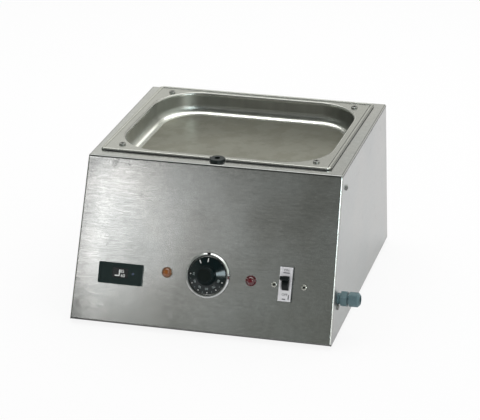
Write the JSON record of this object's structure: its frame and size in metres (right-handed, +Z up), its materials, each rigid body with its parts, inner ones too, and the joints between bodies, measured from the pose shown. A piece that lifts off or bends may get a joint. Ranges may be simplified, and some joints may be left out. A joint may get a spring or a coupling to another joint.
{
  "type": "paraffin wax dispenser",
  "caption": "Bench-top wax bath: raked sheet steel case with a shallow heated pan in its top, a thermostat dial, pilot lamps, a display, a circuit breaker and a cable gland.",
  "frame": {"origin": "centre of the bounding box, on the bench surface under the rubber feet", "axes": "+X to the right seen from the control panel, +Y from the control panel to the back, +Z up"},
  "size_m": [0.3896, 0.376, 0.2129],
  "materials": {
    "front_steel": "brushed stainless sheet, satin",
    "wrap_steel": "brushed stainless sheet, satin",
    "plate_steel": "zinc plated sheet, satin",
    "pan_steel": "deep drawn stainless sheet, polished",
    "bright_screw": "bright plated",
    "dull_screw": "zinc plated",
    "foot_rubber": "matt black rubber",
    "grommet_rubber": "black rubber",
    "gasket_rubber": "dark grey silicone sheet",
    "heater_rubber": "orange-red silicone mat",
    "insulation": "pale mineral fibre board",
    "tray_metal": "plain sheet",
    "bezel_chrome": "polished chrome",
    "knob_black": "glossy black phenolic",
    "cap_black": "satin black",
    "shaft_steel": "turned steel",
    "stat_plastic": "cream ceramic-filled moulding",
    "capillary": "drawn copper",
    "amber_glass": "amber faceted lens",
    "red_glass": "ruby faceted lens",
    "lamp_plastic": "black moulding",
    "display_black": "dark green-black moulding",
    "display_pane": "smoked window",
    "led_blue": "blue jewel",
    "breaker_white": "white moulding",
    "toggle_black": "black moulding",
    "gland_grey": "blue-grey nylon",
    "seal_rubber": "black rubber",
    "terminal_white": "white nylon",
    "terminal_brass": "nickel brass"
  },
  "bodies": {
    "case": {"front_top_shell": "front_steel", "side_rear_shell": "wrap_steel", "base_plate": "plate_steel", "rubber_feet": "foot_rubber", "foot_screws": "dull_screw", "foot_nuts": "dull_screw", "base_screws": "dull_screw", "base_nuts": "dull_screw", "shell_screws": "bright_screw", "tank": "pan_steel", "tank_gasket": "gasket_rubber", "tank_screws": "bright_screw", "tank_nuts": "dull_screw", "probe_grommet": "grommet_rubber", "heater_mat": "heater_rubber", "insulation_pad": "insulation", "insulation_tray": "tray_metal", "tray_studs": "dull_screw", "tray_nuts": "dull_screw", "dial_bezel": "bezel_chrome", "thermostat_body": "stat_plastic", "thermostat_screws": "dull_screw", "capillary_bulb": "capillary", "bulb_clips": "plate_steel", "amber_lamp_ring": "bezel_chrome", "amber_lens": "amber_glass", "amber_lamp_body": "lamp_plastic", "amber_lamp_nut": "dull_screw", "red_lamp_ring": "bezel_chrome", "red_lens": "red_glass", "red_lamp_body": "lamp_plastic", "red_lamp_nut": "dull_screw", "display_bezel": "display_black", "display_window": "display_pane", "display_led": "led_blue", "display_case": "lamp_plastic", "display_clips": "plate_steel", "breaker_body": "breaker_white", "breaker_bracket": "plate_steel", "breaker_screws": "bright_screw", "breaker_nuts": "dull_screw", "gland_body": "gland_grey", "gland_dome_nut": "gland_grey", "gland_seal": "seal_rubber", "gland_lock_nut": "gland_grey", "terminal_block": "terminal_white", "terminal_screws": "terminal_brass", "earth_stud": "terminal_brass", "earth_nut": "terminal_brass"},
    "dial": {"dial_knob": "knob_black", "dial_cap": "cap_black", "thermostat_shaft": "shaft_steel"},
    "toggle": {"breaker_toggle": "toggle_black"}
  },
  "joints": [
    {"name": "dial_turn", "type": "hinge", "parent": "case", "child": "dial", "pos_m": [-0.00739, -0.15791, 0.07534], "axis": [0, 0.9135, -0.4067], "range_deg": [0, 250]},
    {"name": "breaker_toggle", "type": "hinge", "parent": "case", "child": "toggle", "pos_m": [0.09911, -0.15692, 0.07512], "axis": [1, 0, 0], "range_deg": [0, 54]}
  ]
}
